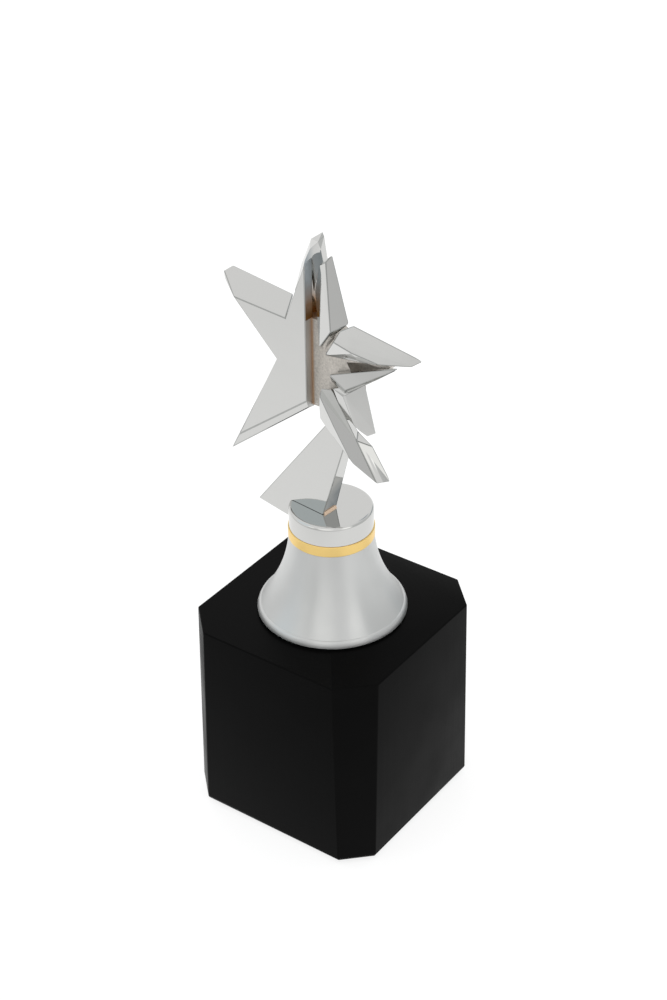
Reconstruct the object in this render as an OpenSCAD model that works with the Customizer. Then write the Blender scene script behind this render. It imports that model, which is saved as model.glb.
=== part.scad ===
// Column trophy: a black wooden block, a turned bell column, a brass ring, a polished cap,
// and a chromed star figure on a slanting fin. The front is -Y and the block stands on z = 0.

/* [Base block] */
// Width and depth of the wooden block
base_w = 70; // [50:1:110]
// Height of the wooden block
base_h = 70; // [40:1:120]
// Leg of the corner chamfers at the top of the block
chamfer_top = 10.1; // [4:0.1:14]
// Leg of the corner chamfers at the foot of the block
chamfer_foot = 8.5; // [4:0.1:14]
// Thickness of the felt under the block
felt_t = 1; // [0.5:0.1:3]
// How far the felt stays in from the block's edges
felt_inset = 3; // [1:0.5:6]

/* [Bell column] */
// Diameter of the column's foot
foot_d = 47.8; // [40:0.2:60]
// Diameter of the column's neck, under the ring
neck_d = 26.8; // [26:0.2:32]
// Height of the column from the block to the ring
column_h = 28.2; // [24:0.2:34]
// Radius of the flare, seen from the side
flare_r = 48.4; // [44:0.2:60]
// Height of the upright band round the foot
foot_band = 0.4; // [0.2:0.1:1.2]
// Wall left between the column's neck and its socket
neck_wall = 3.6; // [2:0.1:4]

/* [Ring and cap] */
// Diameter of the brass ring
ring_d = 27.2; // [26:0.2:34]
// Height of the brass ring
ring_h = 3.6; // [2:0.1:6]
// Diameter of the cap
cap_d = 26.6; // [24:0.2:34]
// Height of the cap
cap_h = 7; // [6:0.1:12]
// Radius of the cap's rounded upper edge
cap_round = 1.3; // [0.4:0.1:2]
// Depth of the slot in the cap that holds the fin
slot_depth = 3; // [2:0.1:3.4]

/* [Tie rod] */
// Diameter of the threaded rod that holds the stack together
rod_d = 6; // [5:0.5:6]
// Diameter of the counterbore under the block
counterbore_d = 20; // [19:1:24]
// Depth of the counterbore under the block
counterbore_depth = 18; // [12:1:25]

/* [Figure] */
// Turn of the fin and star on the column, in degrees
figure_turn = -5.5; // [-8:0.5:8]
// Thickness of the fin
fin_t = 6; // [4:0.5:8]
// Height of the star's centre above the block
star_h = 93; // [88:1:100]
// Sideways place of the star's centre
star_shift = -2; // [-4:0.5:2]
// Depth of the star plate's front face ahead of the fin's back
plate_front = 9; // [8:0.5:11]

/* [Hidden] */
$fn = 96;
fit = 0.1;
block_z = felt_t;
top_z = block_z + base_h;
ring_z = top_z + column_h;
cap_z = ring_z + ring_h;
cap_top = cap_z + cap_h;

// The tie rod's hardware: an M6 nut on a spring washer and a wide flat washer
nut_across = 10;
nut_h = 5;
washer_d = 18;
washer_t = 1.6;
spring_d = 10.6;
spring_t = 1.6;
rod_hole_d = rod_d + 0.6;
seat_z = block_z + counterbore_depth;
nut_z = seat_z - washer_t - spring_t - nut_h;
rod_z = nut_z - 3;

// The cap's boss drops through the ring into the column's socket
boss_d = neck_d - 2 * neck_wall;
boss_depth = ring_h + 12;
rod_top = cap_top - slot_depth - 2;

// The fin's outline, from the cap's slot up to the star: x along the fin, z above the block
fin_corner = [-25.1, 33.6];
fin_heel = [1.9, cap_top - top_z];
fin_lean = 0.316;
fin_top = 81;
fin_rise = 1.338;

// The fin thins a little towards the star, in degrees
fin_taper = 4;

// Depths in the star, measured from the fin's back, and the thickness of the plate's slab
core_front = 6.4;
core_back = 1;
spire_back = 0.5;
slab_t = 3.5;
bevel_depth = 0.7;
pin_d = 1.6;

// The convex solid round a list of points
module facets(points) {
    hull() polyhedron(points, [for (i = [0 : len(points) - 3]) [i, i + 1, i + 2]]);
}

// Puts what follows on the column, turned with the figure
module figure() {
    translate([0, 0, top_z]) rotate([0, 0, figure_turn]) children();
}

// The star's own frame: x to the right, y back from the fin's rear face, z up from its centre
module star() {
    figure() translate([star_shift, 0, star_h]) children();
}

// A flat outline in the x-z plane given thickness from depth a (front) to depth b (back)
module slab(outline, a, b) {
    translate([0, -b, 0]) rotate([90, 0, 0]) linear_extrude(a - b) polygon(outline);
}

module felt_pad() {
    w = base_w - 2 * felt_inset;
    leg = chamfer_foot;
    color("darkslategray")
        linear_extrude(felt_t) difference() {
            square(w, center = true);
            for (turn = [0 : 90 : 270]) rotate(turn)
                translate([w / 2, w / 2]) rotate(45) square([leg * sqrt(2), 3 * leg], center = true);
        }
}

// Cuts one corner of the block; the cut leans because the chamfer narrows towards the foot
module corner_cut() {
    lean = atan((chamfer_top - chamfer_foot) / sqrt(2) / base_h);
    reach = base_w / sqrt(2) - chamfer_foot / sqrt(2);
    rotate([0, 0, 45]) translate([reach, 0, block_z]) rotate([0, -lean, 0])
        translate([0, -base_w / 2, -base_h / 2]) cube([base_w, base_w, 2 * base_h]);
}

module base_block() {
    color("#1b1a1a") difference() {
        translate([-base_w / 2, -base_w / 2, block_z]) cube([base_w, base_w, base_h]);
        for (turn = [0 : 90 : 270]) rotate([0, 0, turn]) corner_cut();
        translate([0, 0, block_z - 1]) cylinder(d = rod_hole_d, h = base_h + 2);
        translate([0, 0, block_z - 1]) cylinder(d = counterbore_d, h = counterbore_depth + 1);
    }
}

module base_nut() {
    color("silver") translate([0, 0, nut_z]) difference() {
        cylinder(d = nut_across / cos(30), h = nut_h, $fn = 6);
        translate([0, 0, -1]) cylinder(d = rod_d, h = nut_h + 2);
    }
}

module washer(z, outer_d, inner_d, t) {
    translate([0, 0, z]) difference() {
        cylinder(d = outer_d, h = t);
        translate([0, 0, -1]) cylinder(d = inner_d, h = t + 2);
    }
}

// The spring washer is split on one side
module spring_washer() {
    color("gray") difference() {
        washer(nut_z + nut_h, spring_d, rod_d + 0.2, spring_t);
        translate([0, -0.4, nut_z + nut_h - 1]) cube([spring_d, 0.8, spring_t + 2]);
    }
}

module flat_washer() {
    color("silver") washer(seat_z - washer_t, washer_d, rod_d + 0.4, washer_t);
}

module tie_rod() {
    color("silver") translate([0, 0, rod_z]) cylinder(d = rod_d, h = rod_top - rod_z);
}

// Radius of the flare at height z above the block: an arc that is upright at the cap's foot
function flare(z) = neck_d / 2 - 0.1 + flare_r * (1 - cos(asin((column_h + ring_h - z) / flare_r)));

// The column's profile: a small recess under the foot, the band, its rounded edge, and the flare
recess = 0.8;
edge_h = 1.9;
edge_z = recess + foot_band;
edge_w = foot_d / 2 - flare(edge_z + edge_h);
flare_steps = 24;
flare_rise = column_h - edge_z - edge_h;
foot_r = foot_d / 2;
column_profile = concat(
    [[0, 0], [foot_r - 1, 0], [foot_r - 1, recess - 0.3], [foot_r, recess], [foot_r, edge_z]],
    [for (a = [15 : 15 : 75]) [foot_r - edge_w * (1 - cos(a)), edge_z + edge_h * sin(a)]],
    [for (i = [0 : flare_steps]) let(z = edge_z + edge_h + flare_rise * i / flare_steps) [flare(z), z]],
    [[0, column_h]]
);

module bell_column() {
    color("#c9c8c6") translate([0, 0, top_z]) difference() {
        rotate_extrude() polygon(column_profile);
        translate([0, 0, -1]) cylinder(d = rod_hole_d, h = column_h + 2);
        translate([0, 0, column_h + ring_h - boss_depth - 1])
            cylinder(d = boss_d + 2 * fit, h = boss_depth);
    }
}

module brass_ring() {
    color("#d9b45a") washer(ring_z, ring_d, boss_d + 2 * fit, ring_h);
}

module cap() {
    r = cap_d / 2;
    c = cap_round;
    color("#d4d4d4") difference() {
        union() {
            translate([0, 0, cap_z]) rotate_extrude() union() {
                square([r, cap_h - c]);
                square([r - c, cap_h]);
                translate([r - c, cap_h - c]) circle(c);
            }
            translate([0, 0, cap_z - boss_depth]) cylinder(d = boss_d, h = boss_depth + 1);
        }
        translate([0, 0, cap_z - boss_depth - 1]) cylinder(d = rod_d, h = rod_top - cap_z + boss_depth + 1);
        figure() translate([-cap_d, -fin_t, cap_top - top_z - slot_depth])
            cube([cap_d + fin_heel[0], fin_t, slot_depth + 1]);
    }
}

// The fin stands in the cap's slot and overhangs the cap on the left
module fin() {
    foot = fin_heel[1] - slot_depth;
    left_top = fin_corner[0] + (fin_top - fin_corner[1]) / fin_rise;
    right_top = fin_heel[0] + fin_lean * (fin_top - fin_heel[1]);
    outline = [
        fin_corner, [-12, 32.4], [fin_heel[0], foot], fin_heel,
        [right_top, fin_top], [left_top, fin_top]
    ];
    color("#cfcfcf") difference() {
        figure() difference() {
            slab(outline, fin_t, 0);
            translate([-50, 0, fin_heel[1]]) rotate([fin_taper, 0, 0]) cube([100, 20, 80]);
        }
        translate([0, 0, ring_z - 5]) cylinder(d = cap_d + 2 * fit, h = 5 + ring_h + cap_h - slot_depth);
    }
}

// A bead of braze along the foot of the fin's right side
module foot_braze() {
    bead = 0.8;
    color("#b98a5e") figure() translate([fin_heel[0], 0, fin_heel[1]])
        slab([[0, 0], [bead, 0], [bead * fin_lean, bead]], fin_t - 0.3, 0.3);
}

// The cast core: it fills the space behind the plate, carries the right-hand blades on its
// flat front, and has a pocket between the two blades of the right arm
module star_core() {
    behind_plate = [[-6, -6.5], [0.8, -12.6], [0.8, 13.7], [-6, 13.7]];
    front = [
        [0.8, -15.5], [3.3, -15.4], [9, -12], [17.5, -12], [17, -4.5], [28, 5], [31, 8.3],
        [20, 10], [12, 10.6], [6, 13.7], [0.8, 13.7]
    ];
    web = [[-6, -6.5], [0.8, -12.6], [5, -9], [7, 0], [4.5, 13.7], [-6, 13.7]];
    pocket = [[14.4, 3.8], [16.7, 0.3], [25, 3.9], [29, 6.8], [22, 6.3]];
    rib = [
        [4.3, -core_front, 5], [8.4, -core_front, 11], [9.6, -core_front, 9.7],
        [5.9, -core_front, 4.7], [5, -7, 5.2], [9.4, -8.2, 11.3]
    ];
    color("#a89c90") star() difference() {
        union() {
            slab(behind_plate, plate_front - slab_t, core_back);
            slab(front, core_front, core_back);
            slab(web, core_back, -spire_back);
            facets(rib);
        }
        slab(pocket, core_front + 1, core_front - 3.4);
        pin_set();
    }
}

// The left half of the star: a thick upper arm, a thick lower arm and the slab between them,
// which reaches into the lower arm
module star_plate() {
    f = -plate_front;
    r = slab_t - plate_front;
    e = bevel_depth - plate_front;
    middle = [
        [0.8, f, -13.4], [0.8, f, 32], [-7, f, 11.8], [-10.7, f, -3.3], [-8, f, -10],
        [0.8, r, -16.3], [0.8, r, 33], [-7.4, r, 12], [-10.7, r, -3.3], [-8, r, -10]
    ];
    upper_arm = [
        [-7, f, 11.8], [-10.7, f, -3.3], [-27.8, f, 11.8], [-12, 0, 14.5], [-37.6, 1.4, 14.9],
        [-38.6, -1.7, 14], [-37, -3, 12.3], [-36, 0, 12], [-11, 0, -4]
    ];
    lower_arm = [
        [-10.7, f, -3.3], [0.8, f, -13.4], [-27.8, f, -36.3], [0.8, e, -16], [-31.8, e, -43.1],
        [0.8, r, -16.4],
        [-11.2, 0, -3.8], [-8, 0, -21], [-33.5, 0, -44.4]
    ];
    color("#cacac8") star() difference() {
        union() {
            facets(middle);
            facets(upper_arm);
            facets(lower_arm);
        }
        pin_set();
    }
}

// The top arm behind the plate: a nib with a channel scooped down its front
module spire_blade() {
    f = slab_t - plate_front;
    b = spire_back;
    scoop_r = 5.5;
    nib = [
        [-4, f, 13.7], [-3.2, f, 26.9], [-2, f, 31], [0, f, 35.2], [3.2, f, 38.5], [4, f, 36],
        [5, f, 13.7], [-8.4, -3, 13.7], [-8.4, -3, 18.2], [-5.6, -3, 27.8], [-1.7, -3, 37],
        [2.7, -3, 40.5], [3.3, -3, 39.5], [3.9, -3, 33], [6, -3, 13.7],
        [-8, b, 13.7], [-7.4, b, 23], [-3.6, b, 35], [0.2, b, 37.2], [0.9, b, 31], [4.5, b, 13.7]
    ];
    color("#c6c6c6") star() difference() {
        facets(nib);
        translate([3.8, f - 0.6, 12]) rotate([11, 0, 0]) cylinder(r = scoop_r, h = 40);
        pin_set();
    }
}

module upper_right_blade() {
    b = -core_front;
    color("#cccccc") star() difference() {
        facets([
            [4.8, -6.9, 32.4], [7.7, -7.5, 34.4], [9.5, -6.6, 37.1], [15.4, -6.6, 17.6],
            [15.1, -6.9, 16.3], [10.4, -8.9, 13.2], [4.7, -7.5, 5.4], [2.5, -6.5, 23.3],
            [5.4, b, 31], [8, b, 33], [14, b, 17.4], [10, b, 14.4], [5, b, 7.2]
        ]);
        pin_set();
    }
}

module right_upper_blade() {
    b = -core_front;
    color("#cccccc") star() difference() {
        facets([
            [20, -9.8, 19.3], [44.4, -8.3, 16], [41.3, -9.8, 13.6], [31, -12, 11.5],
            [21.7, -12.8, 12.2], [15.1, -13.1, 13.5], [16.3, -11.4, 16.9], [7.7, -8.6, 4.6],
            [23.2, -10.8, 8.9], [9.6, b, 6.6], [24, b, 9.6], [37, -7.4, 13], [19, b, 16.4],
            [13, b, 12.4]
        ]);
        pin_set();
    }
}

module right_lower_blade() {
    b = -core_front;
    color("#cccccc") star() difference() {
        facets([
            [10.1, -9.3, -0.7], [18.5, -8.8, 0.4], [36.3, -8, 10.6], [16.7, -9.8, -3.3],
            [23.5, -8.5, 1.3], [15.7, -8.7, -5.4], [10, -8.2, -3.5], [22.7, -7.6, -0.3],
            [10.6, b, -0.8], [18.5, b, 0.6], [32, -7, 8.8], [15.4, b, -4.4], [22, b, 0.2]
        ]);
        pin_set();
    }
}

module lower_right_blade() {
    b = -core_front;
    color("#cccccc") star() difference() {
        facets([
            [15.8, -8.8, -5.7], [21.5, -6.5, -1.1], [25.5, -6.5, -15.9], [23, -7.4, -17.5],
            [20.9, -8, -16.4], [18.8, -8.5, -14.7], [15.1, -9, -6.3], [11, -8.7, -5.3],
            [12.9, -8.5, -9.5], [15.7, -8.4, -13.1],
            [13, b, -7], [19, b, -3], [23, b, -15.6], [18.4, b, -13]
        ]);
        pin_set();
    }
}

// The longest blade is in two lengths: beside the slot, and the broad end below it
module lower_left_blade() {
    b = -core_front;
    beside_slot = [
        [6.8, -9.3, -6.5], [7, -10.1, -9], [6.5, -9.8, -9.9], [5.7, -9, -13.1], [4.9, -7.8, -18.2],
        [7.2, -8.3, -19.6], [12.9, -11, -16.1], [19.8, -11.9, -24], [21.6, -12, -25.6],
        [21.2, -10, -18.5], [12.9, -8.9, -10.3], [10, -8, -6.4],
        [8, b, -8], [8, b, -17.4], [19, b, -22], [18.6, b, -18], [11.4, b, -10.4]
    ];
    broad_end = [
        [19.8, -11.9, -24], [21.6, -12, -25.6], [30, -11.4, -29.1],
        [33.2, -8.9, -28.2], [25.6, -8, -19.7], [21.2, -10, -18.5],
        [19, b, -22], [18.6, b, -18], [24, b, -20.6], [27.6, -7.6, -25.4]
    ];
    color("#cccccc") star() difference() {
        union() {
            facets(beside_slot);
            facets(broad_end);
        }
        pin_set();
    }
}

// Dowels between the core and each piece that it carries: [x, z] and the depth of the front end
pins = [
    [-3.5, -3, 7.5], [-3.5, 6, 7.5], [6.4, 11.4, 7.4], [15, 9.2, 10], [15.6, -2.2, 7.8],
    [15.6, -8.4, 7.6], [9.4, -10.4, 8]
];
pin_rear = 2.5;

// The upright dowel that joins the top arm to the core: its foot and its length
arm_dowel = [-3, -2.5, 9];
arm_dowel_l = 9;

module pin_set() {
    translate(arm_dowel) cylinder(d = pin_d, h = arm_dowel_l);
    for (p = pins)
        translate([p[0], -pin_rear, p[1]]) rotate([90, 0, 0]) cylinder(d = pin_d, h = p[2] - pin_rear);
}

module blade_pins() {
    color("gray") star() pin_set();
}

felt_pad();
base_block();
base_nut();
spring_washer();
flat_washer();
tie_rod();
bell_column();
brass_ring();
cap();
foot_braze();
fin();
star_core();
star_plate();
spire_blade();
upper_right_blade();
right_upper_blade();
right_lower_blade();
lower_right_blade();
lower_left_blade();
blade_pins();
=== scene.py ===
"""The looks of a column trophy: a chromed star on a fin, over a turned column and a black block."""

import math

import bmesh
import bpy
from bpy.props import FloatProperty, FloatVectorProperty, PointerProperty
from mathutils import Matrix, Vector


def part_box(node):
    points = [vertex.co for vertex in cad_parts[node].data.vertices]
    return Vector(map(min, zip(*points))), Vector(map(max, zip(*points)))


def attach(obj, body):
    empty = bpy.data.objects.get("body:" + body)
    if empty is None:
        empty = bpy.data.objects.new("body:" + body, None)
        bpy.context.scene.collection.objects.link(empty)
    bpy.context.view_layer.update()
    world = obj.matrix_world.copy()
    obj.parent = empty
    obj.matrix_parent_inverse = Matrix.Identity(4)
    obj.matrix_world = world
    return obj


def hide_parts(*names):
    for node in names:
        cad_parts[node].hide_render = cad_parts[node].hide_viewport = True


bl_info = {
    "name": "Column Trophy",
    "version": (1, 0, 0),
    "blender": (4, 5, 0),
    "location": "View3D > Sidebar > Trophy",
    "description": "Builds the pieces and materials of a column trophy round its packed frame",
    "category": "Object",
}

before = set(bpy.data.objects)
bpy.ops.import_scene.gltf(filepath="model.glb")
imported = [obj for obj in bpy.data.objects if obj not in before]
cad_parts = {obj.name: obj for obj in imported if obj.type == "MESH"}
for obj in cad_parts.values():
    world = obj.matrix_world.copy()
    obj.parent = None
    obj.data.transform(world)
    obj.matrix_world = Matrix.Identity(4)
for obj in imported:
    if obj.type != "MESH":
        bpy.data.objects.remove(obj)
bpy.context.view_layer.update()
BODY = "root"
MM = 0.001

# The star's separate blades
STAR_BLADES = (
    "spire_blade",
    "upper_right_blade",
    "right_upper_blade",
    "right_lower_blade",
    "lower_right_blade",
    "lower_left_blade",
)

# The edges to round turn by more than SHARP; those that turn by more than FOLDED are slivers' edges
SHARP = math.radians(12)
FOLDED = math.radians(140)


# ---------------------------------------------------------------- sizes and colours


def rgb(text):
    """Linear colour of an sRGB hex value."""
    parts = [int(text[i : i + 2], 16) / 255 for i in (1, 3, 5)]
    return [c / 12.92 if c <= 0.04045 else ((c + 0.055) / 1.055) ** 2.4 for c in parts]


def length(name, description, default):
    return FloatProperty(name=name, description=description, default=default, min=0.0, unit="LENGTH")


def colour(name, description, text):
    return FloatVectorProperty(
        name=name, description=description, default=rgb(text), min=0.0, max=1.0, subtype="COLOR", size=3
    )


class TROPHY_PG_block(bpy.types.PropertyGroup):
    edge: length("Edge radius", "Radius of the wooden block's sanded edges", 0.45 * MM)
    foot_edge: length("Foot radius", "Radius of the edges round the block's foot", 2.2 * MM)
    lacquer: colour("Lacquer", "Colour of the black lacquer", "#080808")
    felt: colour("Felt", "Colour of the felt under the block", "#15181a")
    felt_edge: length("Felt edge", "Radius of the felt's cut edge", 0.25 * MM)
    zinc: colour("Zinc", "Colour of the plating on the rod and its hardware", "#b4b6b8")


class TROPHY_PG_column(bpy.types.PropertyGroup):
    aluminium: colour("Aluminium", "Colour of the turned column", "#cdcecd")
    gold: colour("Gold", "Colour of the brass ring", "#f0cf84")
    cap_edge: length("Cap edge", "Radius of the cap's rounded upper edge", 1.3 * MM)
    neck: length("Neck radius", "Radius of the column where its flare would be upright", 13.3 * MM)
    flare: length("Flare radius", "Radius of the flare, seen from the side", 48.4 * MM)
    band: length("Foot band", "Height of the upright band round the foot", 0.4 * MM)
    socket: length("Socket radius", "Radius of the socket that takes the cap's boss", 9.9 * MM)
    groove: length("Groove pitch", "Spacing of the turning marks, coarse enough to show", 0.3 * MM)


class TROPHY_PG_star(bpy.types.PropertyGroup):
    edge: length("Edge radius", "Radius of the polished edges", 0.28 * MM)
    chrome: colour("Chrome", "Colour of the polished plating", "#cacac8")
    # The edge colour is painted shade: it darkens each rounded edge into a fine line, standing in for the dark
    # reflections a polished edge shows
    edge_line_shade: colour("Painted edge line", "Colour of the plating along the edges", "#a3a4a2")
    blasted: colour("Blasted metal", "Colour of the grit-blasted core", "#bdb8b1")
    turn: FloatProperty(
        name="Turn", description="Turn of the fin and star", default=math.radians(-5.5), subtype="ANGLE"
    )
    channel: length("Channel place", "Distance of the channel's middle from the star's centre", 3.8 * MM)
    scoop: length("Channel radius", "Radius of the channel in the top arm", 5.5 * MM)
    channel_front: length("Channel front", "Place of the channel's axis before the star's centre", 6.1 * MM)
    channel_drop: length("Channel drop", "Depth of that axis's foot under the top arm's foot", 1.7 * MM)
    channel_lean: FloatProperty(
        name="Channel lean", description="Lean of that axis", default=math.radians(11), subtype="ANGLE"
    )
    shift: FloatProperty(
        name="Shift", description="Sideways place of the star's centre", default=-2 * MM, unit="LENGTH"
    )
    fin: length("Fin thickness", "Thickness of the fin at its foot", 6 * MM)
    gap: length("Slot gap", "Gap left between the fin's front and the cap's slot", 0.15 * MM)
    heel: length("Fin heel", "Distance of the fin's right foot from the axis", 1.9 * MM)
    cut: FloatProperty(
        name="Cut", description="Sideways place of the plate's cut side", default=-1.2 * MM, unit="LENGTH"
    )
    stain: colour("Heat stain", "Brown stain that the brazing leaves", "#80592c")
    stain_height: length("Stain height", "Height over which the heat stain fades", 14 * MM)
    joint: colour("Joint stain", "Stain on the joint of the core and the plate", "#a87a4c")
    # The channel's colour is painted shade: a blue-grey tone standing in for the darker reflections in the top
    # arm's channel
    channel_shade: colour("Channel shade", "Blue-grey tarnish in the top arm's channel", "#9ea5a9")
    braze: colour("Braze", "Colour of the brazing alloy", "#e8cdb4")


class TROPHY_PG_stage(bpy.types.PropertyGroup):
    azimuth: FloatProperty(name="Azimuth", description="Camera's turn", default=0.627, subtype="ANGLE")
    elevation: FloatProperty(name="Elevation", description="Camera's height", default=0.587, subtype="ANGLE")
    roll: FloatProperty(name="Roll", description="Camera's roll", default=0.011, subtype="ANGLE")
    distance: length("Distance", "Camera's distance from its target", 0.6663)
    lens: FloatProperty(name="Lens", description="Focal length in millimetres", default=77.3)
    shift: FloatProperty(name="Shift", description="Sideways shift of the lens", default=-0.0047)
    target: FloatVectorProperty(
        name="Target", description="Point that it faces", default=(0.0, 3.7 * MM, 109.4 * MM), size=3
    )
    floor: colour("Floor", "Colour of the floor", "#ffffff")


# ---------------------------------------------------------------- nodes and meshes


def fill(socket, value):
    """Sets a socket's own value, and adds the alpha that a colour lacks."""
    is_colour = socket.type == "RGBA" and len(value) == 3
    socket.default_value = (*value, 1.0) if is_colour else value


def add(tree, kind, links=None, values=None, **settings):
    """Adds a node. Links and values go by an input's name or number; settings are the node's properties,
    or the values of its inputs where it has no such property."""
    node = tree.nodes.new(kind)
    for name, value in settings.items():
        if hasattr(node, name):
            setattr(node, name, value)
        else:
            fill(node.inputs[name.replace("_", " ")], value)
    for number, value in (values or {}).items():
        fill(node.inputs[number], value)
    for name, source in (links or {}).items():
        tree.links.new(source, node.inputs[name])
    return node


def new_material(name):
    """An empty material with its shader, its output and Object coordinates."""
    material = bpy.data.materials.new(name)
    material.use_nodes = True
    tree = material.node_tree
    tree.nodes.clear()
    shader = add(tree, "ShaderNodeBsdfPrincipled")
    add(tree, "ShaderNodeOutputMaterial", {"Surface": shader.outputs[0]})
    place = add(tree, "ShaderNodeTexCoord").outputs["Object"]
    return material, tree, shader, place


def set_shader(shader, **values):
    """Sets the values of a shader's inputs."""
    for name, value in values.items():
        fill(shader.inputs[name.replace("_", " ")], value)


def finish_piece(name, bm, material, *nodes, slot):
    """Makes the object with its material, rides it on the body and hides the CAD nodes it stands for."""
    mesh = bpy.data.meshes.new(name)
    bm.to_mesh(mesh)
    bm.free()
    piece = bpy.data.objects.new(name, mesh)
    bpy.context.collection.objects.link(piece)
    mesh.materials.append(material)
    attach(piece, BODY)
    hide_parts(*nodes)
    return piece


def copy_node(node):
    """A bmesh of a CAD node with its doubles merged and its flat faces made whole."""
    bm = bmesh.new()
    bm.from_mesh(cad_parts[node].data)
    bmesh.ops.remove_doubles(bm, verts=bm.verts, dist=0.002 * MM)
    bmesh.ops.dissolve_limit(
        bm, angle_limit=math.radians(0.3), use_dissolve_boundaries=False, verts=bm.verts, edges=bm.edges
    )
    return bm


def bevel(bm, edges, radius, segments=3, clamp=True):
    """Rounds edges and returns the new faces; clamp narrows them all where a face is too small."""
    made = bmesh.ops.bevel(
        bm,
        geom=edges,
        offset=radius,
        offset_type="OFFSET",
        affect="EDGES",
        segments=segments,
        profile=0.5,
        clamp_overlap=clamp,
        material=-1,
    )
    return made["faces"]


def lathe(profile, closed=True, steps=160):
    """A turned solid from (radius, height) points: a closed ring, or a line between two points on the axis."""
    bm = bmesh.new()
    verts = [bm.verts.new((r, 0, z)) for r, z in profile]
    ends = verts[1:] + verts[:1] if closed else verts[1:]
    edges = [bm.edges.new(pair) for pair in zip(verts, ends)]
    bmesh.ops.spin(
        bm,
        geom=verts + edges,
        axis=(0, 0, 1),
        cent=(0, 0, 0),
        dvec=(0, 0, 0),
        angle=math.tau,
        steps=steps,
        use_merge=True,
        use_duplicate=False,
    )
    bmesh.ops.remove_doubles(bm, verts=bm.verts, dist=0.001 * MM)
    bmesh.ops.recalc_face_normals(bm, faces=bm.faces)
    return bm


def arc(centre, radius, start, end, steps=8):
    """Points along an arc of a profile; the angles are in degrees."""
    turns = [math.radians(start + (end - start) * i / steps) for i in range(steps + 1)]
    return [(centre[0] + radius * math.cos(t), centre[1] + radius * math.sin(t)) for t in turns]


def shade_smooth(piece, degrees=28):
    """Smooth shading that keeps the edges sharper than an angle."""
    for face in piece.data.polygons:
        face.use_smooth = True
    piece.data.set_sharp_from_angle(angle=math.radians(degrees))


# ---------------------------------------------------------------- materials


def black_lacquer(block):
    """Satin black lacquer brushed on wood: a soft broad gloss, faint brush marks and the odd rub mark."""
    material, tree, shader, place = new_material("Satin black lacquer on wood")
    tone = add(tree, "ShaderNodeTexNoise", {"Vector": place}, Scale=60.0, Detail=4.0)
    dark = [c * 0.8 for c in block.lacquer]
    light = [c * 1.25 for c in block.lacquer]
    mix = add(tree, "ShaderNodeMix", {"Factor": tone.outputs[0]}, {6: dark, 7: light}, data_type="RGBA")
    tree.links.new(mix.outputs[2], shader.inputs["Base Color"])
    # Brush marks run round the column on top and up the sides: 0.5 mm apart
    stretched = add(tree, "ShaderNodeMapping", {"Vector": place}, Scale=(2000.0, 2000.0, 60.0))
    brush = add(tree, "ShaderNodeTexNoise", {"Vector": stretched.outputs[0]}, Scale=1.0, Detail=3.0)
    rings = add(
        tree, "ShaderNodeTexWave", {"Vector": place}, wave_type="RINGS", rings_direction="Z",
        Scale=170.0, Distortion=3.0, Detail=3.0, Detail_Scale=1.5,
    )
    faint = add(tree, "ShaderNodeMath", {0: rings.outputs[1]}, {1: 0.35}, operation="MULTIPLY")
    both = add(tree, "ShaderNodeMath", {0: brush.outputs[0], 1: faint.outputs[0]}, operation="ADD")
    bump = add(tree, "ShaderNodeBump", {"Height": both.outputs[0]}, Strength=0.3, Distance=0.05 * MM)
    tree.links.new(bump.outputs[0], shader.inputs["Normal"])
    rough = add(
        tree, "ShaderNodeMapRange", {"Value": tone.outputs[0]},
        From_Min=0.3, From_Max=0.7, To_Min=0.3, To_Max=0.42,
    )
    tree.links.new(rough.outputs[0], shader.inputs["Roughness"])
    set_shader(shader, IOR=1.45, Specular_IOR_Level=0.034)
    return material


def wool_felt(block):
    """Pressed wool felt: fibres that scatter light, with a soft sheen and no gloss."""
    material, tree, shader, place = new_material("Pressed wool felt")
    fibre = add(tree, "ShaderNodeTexNoise", {"Vector": place}, Scale=2500.0, Detail=5.0)
    dark = [c * 0.6 for c in block.felt]
    light = [c * 1.5 for c in block.felt]
    mix = add(tree, "ShaderNodeMix", {"Factor": fibre.outputs[0]}, {6: dark, 7: light}, data_type="RGBA")
    tree.links.new(mix.outputs[2], shader.inputs["Base Color"])
    bump = add(tree, "ShaderNodeBump", {"Height": fibre.outputs[0]}, Strength=0.6, Distance=0.2 * MM)
    tree.links.new(bump.outputs[0], shader.inputs["Normal"])
    set_shader(shader, Roughness=0.95, Sheen_Weight=0.3, Sheen_Roughness=0.6)
    return material


def turned_metal(name, tint, column, roughness, strength, anisotropy):
    """Metal turned on a lathe: fine grooves round the axis draw highlights out up and down the piece."""
    material, tree, shader, place = new_material(name)
    shell = add(tree, "ShaderNodeSeparateXYZ", {"Vector": place})
    lines = add(tree, "ShaderNodeMath", {0: shell.outputs[2]}, {1: column.groove}, operation="DIVIDE")
    grooves = add(
        tree, "ShaderNodeTexNoise", {"W": lines.outputs[0]}, noise_dimensions="1D", Scale=1.0, Detail=3.0
    )
    bump = add(tree, "ShaderNodeBump", {"Height": grooves.outputs[0]}, Strength=strength, Distance=0.02 * MM)
    tree.links.new(bump.outputs[0], shader.inputs["Normal"])
    blotch = add(tree, "ShaderNodeTexNoise", {"Vector": place}, Scale=90.0, Detail=3.0)
    rough = add(
        tree, "ShaderNodeMapRange", {"Value": blotch.outputs[0]},
        From_Min=0.3, From_Max=0.7, To_Min=roughness - 0.03, To_Max=roughness + 0.03,
    )
    tree.links.new(rough.outputs[0], shader.inputs["Roughness"])
    tangent = add(tree, "ShaderNodeTangent", direction_type="RADIAL", axis="Z")
    tree.links.new(tangent.outputs[0], shader.inputs["Tangent"])
    set_shader(shader, Base_Color=tint, Metallic=1.0, Anisotropic=anisotropy, Anisotropic_Rotation=0.25)
    return material


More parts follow.
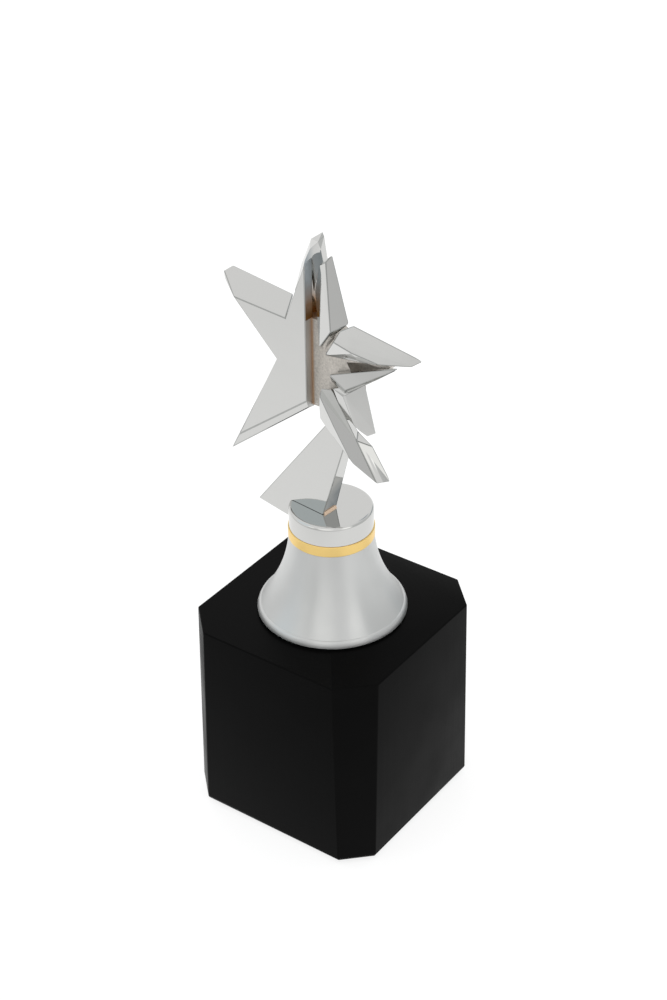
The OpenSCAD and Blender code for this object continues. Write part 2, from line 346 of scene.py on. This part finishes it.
def heat_stain(tree, place, star, start, clean):
    """The brown that the brazing's heat leaves: darkest at the start height, and fading above it."""
    height = add(tree, "ShaderNodeSeparateXYZ", {"Vector": place})
    patchy = add(tree, "ShaderNodeTexNoise", {"Vector": place}, Scale=300.0, Detail=3.0)
    uneven = add(
        tree, "ShaderNodeMapRange", {"Value": patchy.outputs[0]}, To_Min=-3.0 * MM, To_Max=3.0 * MM
    )
    level = add(tree, "ShaderNodeMath", {0: height.outputs[2], 1: uneven.outputs[0]}, operation="ADD")
    amount = add(
        tree, "ShaderNodeMapRange", {"Value": level.outputs[0]}, interpolation_type="SMOOTHSTEP",
        From_Min=start, From_Max=start + star.stain_height, To_Min=1.0, To_Max=0.0,
    )
    mix = add(
        tree, "ShaderNodeMix", {"Factor": amount.outputs[0], 6: clean}, {7: star.stain}, data_type="RGBA"
    )
    return mix.outputs[2]


def polished_chrome(name, star, waves=0.3, stain_from=None):
    """Polished chrome plate: a mirror with the faint waves and haze that hand polishing leaves."""
    material, tree, shader, place = new_material(name)
    wave = add(tree, "ShaderNodeTexNoise", {"Vector": place}, Scale=70.0, Detail=1.5)
    bump = add(tree, "ShaderNodeBump", {"Height": wave.outputs[0]}, Strength=waves, Distance=0.5 * MM)
    tree.links.new(bump.outputs[0], shader.inputs["Normal"])
    haze = add(tree, "ShaderNodeTexNoise", {"Vector": place}, Scale=260.0, Detail=4.0)
    rough = add(
        tree, "ShaderNodeMapRange", {"Value": haze.outputs[0]},
        From_Min=0.35, From_Max=0.75, To_Min=0.035, To_Max=0.09,
    )
    tree.links.new(rough.outputs[0], shader.inputs["Roughness"])
    set_shader(shader, Base_Color=star.chrome, Metallic=1.0)
    if stain_from is not None:
        # Painted shade: a blue-grey tone, deepest in the channel's left corner and fading towards the right,
        # stands in for the darker reflections there
        turned = add(tree, "ShaderNodeMapping", {"Vector": place}, Rotation=(0.0, 0.0, -star.turn))
        across = add(tree, "ShaderNodeSeparateXYZ", {"Vector": turned.outputs[0]})
        shade_fade = add(
            tree, "ShaderNodeMapRange", {"Value": across.outputs[0]},
            From_Min=star.cut - 2.3 * MM, From_Max=star.cut + 0.7 * MM,
        )
        clean = add(
            tree, "ShaderNodeMix", {"Factor": shade_fade.outputs[0]}, {6: star.channel_shade, 7: star.chrome},
            data_type="RGBA",
        )
        stained = heat_stain(tree, place, star, stain_from, clean.outputs[2])
        tree.links.new(stained, shader.inputs["Base Color"])
    return material


def blasted_casting(star):
    """Grit-blasted zinc casting: a fine sandy surface with no gloss and a warm uneven tint."""
    material, tree, shader, place = new_material("Grit-blasted zinc casting")
    # Grit pits are about 0.3 mm across, so that they show
    grit = add(tree, "ShaderNodeTexVoronoi", {"Vector": place}, Scale=2600.0)
    sand = add(tree, "ShaderNodeTexNoise", {"Vector": place}, Scale=1500.0, Detail=4.0)
    both = add(tree, "ShaderNodeMath", {0: grit.outputs[0], 1: sand.outputs[0]}, operation="ADD")
    bump = add(tree, "ShaderNodeBump", {"Height": both.outputs[0]}, Strength=0.5, Distance=0.15 * MM)
    tree.links.new(bump.outputs[0], shader.inputs["Normal"])
    dark = [c * 0.6 for c in star.blasted]
    light = [min(c * 1.5, 1) for c in star.blasted]
    mix = add(tree, "ShaderNodeMix", {"Factor": sand.outputs[0]}, {6: dark, 7: light}, data_type="RGBA")
    # The joint with the plate is stained along a strip about 1 mm wide
    turned = add(tree, "ShaderNodeMapping", {"Vector": place}, Rotation=(0.0, 0.0, -star.turn))
    across = add(tree, "ShaderNodeSeparateXYZ", {"Vector": turned.outputs[0]})
    near = add(
        tree, "ShaderNodeMapRange", {"Value": across.outputs[0]}, interpolation_type="SMOOTHSTEP",
        From_Min=star.cut + 0.3 * MM, From_Max=star.cut + 1.3 * MM, To_Min=0.75, To_Max=0.0,
    )
    stained = add(
        tree, "ShaderNodeMix", {"Factor": near.outputs[0], 6: mix.outputs[2]}, {7: star.joint},
        data_type="RGBA",
    )
    tree.links.new(stained.outputs[2], shader.inputs["Base Color"])
    set_shader(shader, Metallic=0.75, Roughness=0.42)
    return material


def painted_edge_line(star):
    """Chrome on the rounded edges, painted greyer so that each edge draws a fine dark line: painted shade
    standing in for the dark reflections of a polished edge, a little hazy.
    """
    material, tree, shader, place = new_material("Chrome edge with painted dark line")
    rub = add(tree, "ShaderNodeTexNoise", {"Vector": place}, Scale=400.0, Detail=3.0)
    dark = [c * 0.9 for c in star.edge_line_shade]
    light = [c * 1.1 for c in star.edge_line_shade]
    mix = add(tree, "ShaderNodeMix", {"Factor": rub.outputs[0]}, {6: dark, 7: light}, data_type="RGBA")
    tree.links.new(mix.outputs[2], shader.inputs["Base Color"])
    set_shader(shader, Metallic=1.0, Roughness=0.16)
    return material


def milled_edge(star, channel_foot):
    """The plate's cut side: plated over fine milling marks, so it is satin where the faces are mirrors."""
    material, tree, shader, place = new_material("Plated milled edge")
    marks = add(tree, "ShaderNodeMapping", {"Vector": place}, Scale=(300.0, 300.0, 4000.0))
    noise = add(tree, "ShaderNodeTexNoise", {"Vector": marks.outputs[0]}, Scale=1.0, Detail=2.0)
    bump = add(tree, "ShaderNodeBump", {"Height": noise.outputs[0]}, Strength=0.2, Distance=0.05 * MM)
    tree.links.new(bump.outputs[0], shader.inputs["Normal"])
    # Beside the core it has the chrome's colour; above it, in the channel, it takes the blue-grey painted
    # shade under the heat stain
    height = add(tree, "ShaderNodeSeparateXYZ", {"Vector": place})
    inside = add(
        tree, "ShaderNodeMapRange", {"Value": height.outputs[2]},
        From_Min=channel_foot - 0.3 * MM, From_Max=channel_foot,
    )
    painted_channel_tone = add(tree, "ShaderNodeRGB")
    fill(painted_channel_tone.outputs[0], star.channel_shade)
    stained = heat_stain(tree, place, star, channel_foot, painted_channel_tone.outputs[0])
    mix = add(
        tree, "ShaderNodeMix", {"Factor": inside.outputs[0], 7: stained}, {6: star.chrome}, data_type="RGBA"
    )
    tree.links.new(mix.outputs[2], shader.inputs["Base Color"])
    set_shader(shader, Metallic=1.0, Roughness=0.45)
    return material


def braze_alloy(star):
    """Copper-silver brazing alloy as it ran: smooth, slightly rippled and pinkish."""
    material, tree, shader, place = new_material("Copper-silver brazing alloy")
    ripple = add(tree, "ShaderNodeTexNoise", {"Vector": place}, Scale=900.0, Detail=2.0)
    bump = add(tree, "ShaderNodeBump", {"Height": ripple.outputs[0]}, Strength=0.4, Distance=0.1 * MM)
    tree.links.new(bump.outputs[0], shader.inputs["Normal"])
    set_shader(shader, Base_Color=star.braze, Metallic=0.8, Roughness=0.4)
    return material


def zinc_plate(block):
    """Zinc-plated steel hardware: grey with a slight crystalline mottle and a soft gloss."""
    material, tree, shader, place = new_material("Zinc-plated steel")
    mottle = add(tree, "ShaderNodeTexVoronoi", {"Vector": place}, Scale=700.0)
    rough = add(tree, "ShaderNodeMapRange", {"Value": mottle.outputs[0]}, To_Min=0.28, To_Max=0.42)
    tree.links.new(rough.outputs[0], shader.inputs["Roughness"])
    set_shader(shader, Base_Color=block.zinc, Metallic=1.0)
    return material


# ---------------------------------------------------------------- operators


class TROPHY_OT_block(bpy.types.Operator):
    """Builds the wooden block with its sanded edges, and the felt under it"""

    bl_idname = "trophy.block"
    bl_label = "Block and felt"

    def execute(self, context):
        block = context.scene.trophy_block
        low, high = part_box("base_block")
        bm = copy_node("base_block")
        outside = 0.3 * (high.x - low.x)
        rim = [e for e in bm.edges if all(v.co.xy.length > outside for v in e.verts)]
        foot = [e for e in rim if all(v.co.z < low.z + MM for v in e.verts)]
        bevel(bm, foot, block.foot_edge, segments=5)
        rim = [e for e in bm.edges if all(v.co.xy.length > outside for v in e.verts)]
        above = low.z + block.foot_edge - 0.01 * MM
        bevel(bm, [e for e in rim if self.is_corner(e, above)], block.edge)
        piece = finish_piece("wooden_block", bm, black_lacquer(block), "base_block", slot="black_wood")
        shade_smooth(piece, 40)
        felt = copy_node("felt_pad")
        low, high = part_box("felt_pad")
        rim = [e for e in felt.edges if all(v.co.z > high.z - 0.01 * MM for v in e.verts)]
        bevel(felt, rim, block.felt_edge, segments=2)
        piece = finish_piece("felt_sheet", felt, wool_felt(block), "felt_pad", slot="felt")
        shade_smooth(piece, 40)
        return {"FINISHED"}

    def is_corner(self, edge, above):
        """True for the block's edges that stand above its rounded foot and turn a corner."""
        upper = all(v.co.z > above for v in edge.verts)
        return upper and edge.is_manifold and edge.calc_face_angle() > math.radians(20)


class TROPHY_OT_hardware(bpy.types.Operator):
    """Plates the rod, its hardware and the blades' pins, which are shown as they are"""

    bl_idname = "trophy.hardware"
    bl_label = "Tie rod and its hardware"

    def execute(self, context):
        zinc = zinc_plate(context.scene.trophy_block)
        for node in ("base_nut", "spring_washer", "flat_washer", "tie_rod", "blade_pins"):
            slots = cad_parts[node].data.materials
            slots.clear()
            slots.append(zinc)
        return {"FINISHED"}


class TROPHY_OT_column(bpy.types.Operator):
    """Turns the bell column and the brass ring"""

    bl_idname = "trophy.column"
    bl_label = "Column and ring"

    def execute(self, context):
        column = context.scene.trophy_column
        aluminium = turned_metal(
            "Turned satin aluminium", column.aluminium, column, roughness=0.36, strength=0.1, anisotropy=0.85
        )
        bell = finish_piece(
            "turned_column", lathe(self.bell(column)), aluminium, "bell_column", slot="turned_aluminium"
        )
        shade_smooth(bell)
        brass = turned_metal(
            "Satin brass", column.gold, column, roughness=0.34, strength=0.2, anisotropy=0.5
        )
        low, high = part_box("brass_ring")
        edge = 0.2 * MM
        profile = [
            (column.socket, low.z), (high.x - edge, low.z), (high.x, low.z + edge),
            (high.x, high.z - edge), (high.x - edge, high.z), (column.socket, high.z),
        ]
        ring = finish_piece("gold_ring", lathe(profile), brass, "brass_ring", slot="brass")
        shade_smooth(ring)
        return {"FINISHED"}

    def bell(self, column):
        """The column's profile: the foot's recess and band, its rounded edge, the flare and the socket."""
        low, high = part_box("bell_column")
        top_of_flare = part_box("brass_ring")[1].z
        foot = high.x
        recess, edge, rod_hole, socket_depth = 0.8 * MM, 1.9 * MM, 3.3 * MM, 13 * MM

        def flare(z):
            turn = math.asin((top_of_flare - z) / column.flare)
            return column.neck + column.flare * (1 - math.cos(turn))

        start = low.z + recess + column.band
        width = foot - flare(start + edge)
        points = [
            (rod_hole, low.z), (foot - MM, low.z), (foot - MM, low.z + 0.5 * MM), (foot, low.z + recess),
        ]
        # The rounded edge is a stretch of an ellipse, from a corner at 35 degrees to its level top
        first = math.radians(35)
        for degrees in (35, 45, 55, 65, 75, 85, 90):
            turn = math.radians(degrees)
            out = math.cos(turn) / math.cos(first)
            up = (math.sin(turn) - math.sin(first)) / (1 - math.sin(first))
            points.append((foot - width * (1 - out), start + edge * up))
        rise = high.z - start - edge
        steps = 40
        for i in range(1, steps + 1):
            z = start + edge + rise * i / steps
            points.append((flare(z), z))
        floor = high.z - socket_depth
        return points + [(column.socket, high.z), (column.socket, floor), (rod_hole, floor)]


class TROPHY_OT_cap(bpy.types.Operator):
    """Turns and polishes the cap, and cuts its slot"""

    bl_idname = "trophy.cap"
    bl_label = "Cap"

    def execute(self, context):
        column = context.scene.trophy_column
        star = context.scene.trophy_star
        low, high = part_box("cap")
        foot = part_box("brass_ring")[1].z
        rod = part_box("tie_rod")[1]
        boss, edge = column.socket - 0.1 * MM, 0.15 * MM
        profile = [
            (0, rod.z), (rod.x, rod.z), (rod.x, low.z), (boss, low.z), (boss, foot),
            (high.x - edge, foot), (high.x, foot + edge),
        ]
        profile += arc((high.x - column.cap_edge, high.z - column.cap_edge), column.cap_edge, 0, 90)
        profile.append((0, high.z))
        metal = polished_chrome("Polished chrome on the cap", star, 0.06)
        piece = finish_piece("polished_cap", lathe(profile, closed=False), metal, "cap", slot="chrome")
        self.cut_slot(context, piece, high)
        shade_smooth(piece)
        return {"FINISHED"}

    def cut_slot(self, context, piece, high):
        """Cuts the slot that the fin's foot stands in, open to the left."""
        star = context.scene.trophy_star
        depth, reach = 3 * MM, 2 * high.x
        bm = bmesh.new()
        size = (reach + star.heel, star.fin + star.gap, depth + MM)
        middle = Vector(((star.heel - reach) / 2, -size[1] / 2, high.z - depth + size[2] / 2))
        place = Matrix.Translation(middle) @ Matrix.Diagonal((*size, 1))
        bmesh.ops.create_cube(bm, size=1.0, matrix=place)
        bmesh.ops.rotate(bm, verts=bm.verts, cent=(0, 0, 0), matrix=Matrix.Rotation(star.turn, 3, "Z"))
        mesh = bpy.data.meshes.new("slot")
        bm.to_mesh(mesh)
        bm.free()
        cutter = bpy.data.objects.new("slot", mesh)
        context.collection.objects.link(cutter)
        cut = piece.modifiers.new("slot", "BOOLEAN")
        cut.object = cutter
        cut.operation = "DIFFERENCE"
        cut.solver = "EXACT"
        made = bpy.data.meshes.new_from_object(piece.evaluated_get(context.evaluated_depsgraph_get()))
        piece.modifiers.clear()
        piece.data = made
        bpy.data.objects.remove(cutter)
        bpy.data.meshes.remove(mesh)


class TROPHY_OT_star(bpy.types.Operator):
    """Softens and polishes the fin, the star plate and the blades, and blasts the core"""

    bl_idname = "trophy.star"
    bl_label = "Fin and star"

    def execute(self, context):
        star = context.scene.trophy_star
        chrome = polished_chrome("Polished chrome plate", star)
        edge_line_shade = painted_edge_line(star)
        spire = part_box("spire_blade")
        # The channel's plate carries the heat stain and a blue-grey painted shade
        stained = polished_chrome("Heat-stained chrome plate with painted channel shade", star, stain_from=spire[0].z)
        for node in ("fin", "star_plate") + STAR_BLADES:
            bm = copy_node(node)
            sharp = [e for e in bm.edges if self.is_sharp(e, node in STAR_BLADES)]
            # The bevel faces take the greyer edge material, a painted dark line along each edge
            for face in bevel(bm, sharp, star.edge, segments=2, clamp=node in STAR_BLADES):
                face.material_index = 1
            piece = finish_piece("polished_" + node, bm, chrome, node, slot="chrome")
            piece.data.materials.append(edge_line_shade)
            if node == "star_plate":
                piece.data.materials.append(milled_edge(star, spire[0].z))
                self.mark_cut_side(piece, star)
            if node == "spire_blade":
                piece.data.materials.append(stained)
                self.mark_channel(piece, star, spire)
        core = finish_piece(
            "blasted_core", copy_node("star_core"), blasted_casting(star), "star_core", slot="blasted_casting"
        )
        shade_smooth(core, 20)
        braze = finish_piece(
            "braze_bead", copy_node("foot_braze"), braze_alloy(star), "foot_braze", slot="braze"
        )
        shade_smooth(braze, 60)
        return {"FINISHED"}

    def is_sharp(self, edge, blade):
        """True for an edge to round; the slivers on the plate and the fin keep their edges."""
        if not edge.is_manifold:
            return False
        turn = edge.calc_face_angle()
        if blade:
            return turn > SHARP and edge.calc_length() > 1.5 * MM
        sliver = 4 * MM**2
        large = all(f.calc_area() > sliver for f in edge.link_faces)
        return SHARP < turn < FOLDED and edge.calc_length() > 3 * MM and large

    def mark_cut_side(self, piece, star):
        """Gives the milled edge to the plate's faces that lie within about 6 degrees of its cut side."""
        side = Matrix.Rotation(star.turn, 3, "Z") @ Vector((1, 0, 0))
        for face in piece.data.polygons:
            if face.normal.dot(side) > 0.995:
                face.material_index = 2

    def mark_channel(self, piece, star, spire):
        """Gives the heat-stained plate, with its blue-grey painted shade, to the faces of the channel that is
        scooped down the top arm's front.
        """
        turn = Matrix.Rotation(star.turn, 3, "Z")
        across = star.channel + star.shift
        level = Vector((0, 0, spire[0].z - star.channel_drop))
        foot = turn @ Vector((across, -star.channel_front, 0)) + level
        along = turn @ Vector((0, -math.sin(star.channel_lean), math.cos(star.channel_lean)))
        slack = 0.1 * MM
        for face in piece.data.polygons:
            reach = face.center - foot
            wall = (reach - along * reach.dot(along)).length
            if wall < star.scoop + slack and abs(face.normal.dot(along)) < 0.5:
                face.material_index = 2
                face.use_smooth = True


class TROPHY_OT_stage(bpy.types.Operator):
    """Lays the pale floor, sets the studio light and places the camera"""

    bl_idname = "trophy.stage"
    bl_label = "Floor, light and camera"

    def execute(self, context):
        stage = context.scene.trophy_stage
        bm = bmesh.new()
        bmesh.ops.create_grid(bm, x_segments=1, y_segments=1, size=20.0)
        mesh = bpy.data.meshes.new("floor")
        bm.to_mesh(mesh)
        bm.free()
        floor = bpy.data.objects.new("floor", mesh)
        context.collection.objects.link(floor)
        # White studio paper that glows, more strongly near and behind the trophy than towards the camera:
        # painted light that keeps shadows on it faint
        material, tree, shader, place = new_material("White studio paper")
        grain = add(tree, "ShaderNodeTexNoise", {"Vector": place}, Scale=800.0, Detail=3.0)
        bump = add(tree, "ShaderNodeBump", {"Height": grain.outputs[0]}, Strength=0.02, Distance=0.05 * MM)
        tree.links.new(bump.outputs[0], shader.inputs["Normal"])
        depth = add(tree, "ShaderNodeSeparateXYZ", {"Vector": place})
        glow = add(
            tree, "ShaderNodeMapRange", {"Value": depth.outputs[1]}, interpolation_type="SMOOTHSTEP",
            From_Min=-0.6, From_Max=-0.05, To_Min=0.42, To_Max=0.8,
        )
        tree.links.new(glow.outputs[0], shader.inputs["Emission Strength"])
        set_shader(
            shader, Base_Color=[c * 0.3 for c in stage.floor], Roughness=0.9, Specular_IOR_Level=0.0,
            Emission_Color=stage.floor,
        )
        mesh.materials.append(material)
        self.light(context)
        self.camera(context, stage)
        context.scene.view_settings.view_transform = "Standard"
        return {"FINISHED"}

    def light(self, context):
        """A white studio with the dim parts of the room that a mirror finish picks up."""
        world = bpy.data.worlds.new("Studio")
        context.scene.world = world
        world.use_nodes = True
        tree = world.node_tree
        tree.nodes.clear()
        place = add(tree, "ShaderNodeTexCoord").outputs["Generated"]
        white = add(tree, "ShaderNodeRGB")
        fill(white.outputs[0], (1.0, 1.0, 1.0))
        result = white.outputs[0]
        # Each part of the room: its direction, the cosines where it starts and is full, and its colour
        for toward, start, full, tint in (
            ((-0.15, -0.98, 0.08), 0.925, 0.985, (0.68, 0.69, 0.68)),
            ((0.85, 0.5, 0.2), 0.66, 0.9, (0.72, 0.73, 0.73)),
            ((-0.61, -0.56, 0.55), 0.92, 0.965, (0.92, 1.0, 1.04)),
            ((0.08, 0.67, 0.73), 0.982, 0.994, (0.42, 0.47, 0.52)),
            ((0.24, 0.97, 0.08), 0.94, 0.98, (0.5, 0.54, 0.56)),
            ((0.3, -0.83, 0.46), 0.93, 0.965, (1.3, 1.3, 1.28)),
            ((0.86, -0.2, 0.47), 0.965, 0.985, (1.5, 1.5, 1.48)),
            ((-0.28, -0.87, 0.4), 0.98, 0.992, (1.3, 1.3, 1.28)),
        ):
            middle = Vector(toward).normalized()
            aim = add(tree, "ShaderNodeVectorMath", {0: place}, {1: middle}, operation="DOT_PRODUCT")
            amount = add(
                tree, "ShaderNodeMapRange", {"Value": aim.outputs["Value"]},
                interpolation_type="SMOOTHSTEP", From_Min=start, From_Max=full,
            )
            mix = add(
                tree, "ShaderNodeMix", {"Factor": amount.outputs[0], 6: result}, {7: tint}, data_type="RGBA"
            )
            result = mix.outputs[2]
        background = add(tree, "ShaderNodeBackground", {"Color": result}, Strength=1.0)
        add(tree, "ShaderNodeOutputWorld", {"Surface": background.outputs[0]})

    def camera(self, context, stage):
        lens = bpy.data.cameras.new("camera")
        lens.lens = stage.lens
        lens.shift_x = stage.shift
        camera = bpy.data.objects.new("camera", lens)
        context.collection.objects.link(camera)
        level = math.cos(stage.elevation)
        sideways, forward = math.sin(stage.azimuth) * level, math.cos(stage.azimuth) * level
        back = Vector((sideways, -forward, math.sin(stage.elevation)))
        turn = Matrix.Rotation(-stage.roll, 4, back) @ back.to_track_quat("Z", "Y").to_matrix().to_4x4()
        camera.matrix_world = Matrix.Translation(Vector(stage.target) + back * stage.distance) @ turn
        context.scene.camera = camera


class TROPHY_PT_panel(bpy.types.Panel):
    """Lists the trophy's operators and settings"""

    bl_label = "Column Trophy"
    bl_idname = "TROPHY_PT_panel"
    bl_space_type = "VIEW_3D"
    bl_region_type = "UI"
    bl_category = "Trophy"

    def draw(self, context):
        for name, group in GROUPS.items():
            box = self.layout.box()
            for prop in group.__annotations__:
                box.prop(getattr(context.scene, name), prop)
        for operator in OPERATORS:
            self.layout.operator(operator.bl_idname)


GROUPS = {
    "trophy_block": TROPHY_PG_block,
    "trophy_column": TROPHY_PG_column,
    "trophy_star": TROPHY_PG_star,
    "trophy_stage": TROPHY_PG_stage,
}
OPERATORS = (
    TROPHY_OT_block,
    TROPHY_OT_hardware,
    TROPHY_OT_column,
    TROPHY_OT_cap,
    TROPHY_OT_star,
    TROPHY_OT_stage,
)


def register():
    for cls in (*GROUPS.values(), *OPERATORS, TROPHY_PT_panel):
        bpy.utils.register_class(cls)
    for name, group in GROUPS.items():
        setattr(bpy.types.Scene, name, PointerProperty(type=group))


def unregister():
    for name in GROUPS:
        delattr(bpy.types.Scene, name)
    for cls in reversed((*GROUPS.values(), *OPERATORS, TROPHY_PT_panel)):
        bpy.utils.unregister_class(cls)


def main():
    register()
    bpy.ops.trophy.block()
    bpy.ops.trophy.hardware()
    bpy.ops.trophy.column()
    bpy.ops.trophy.cap()
    bpy.ops.trophy.star()
    bpy.ops.trophy.stage()


if __name__ == "__main__":
    main()
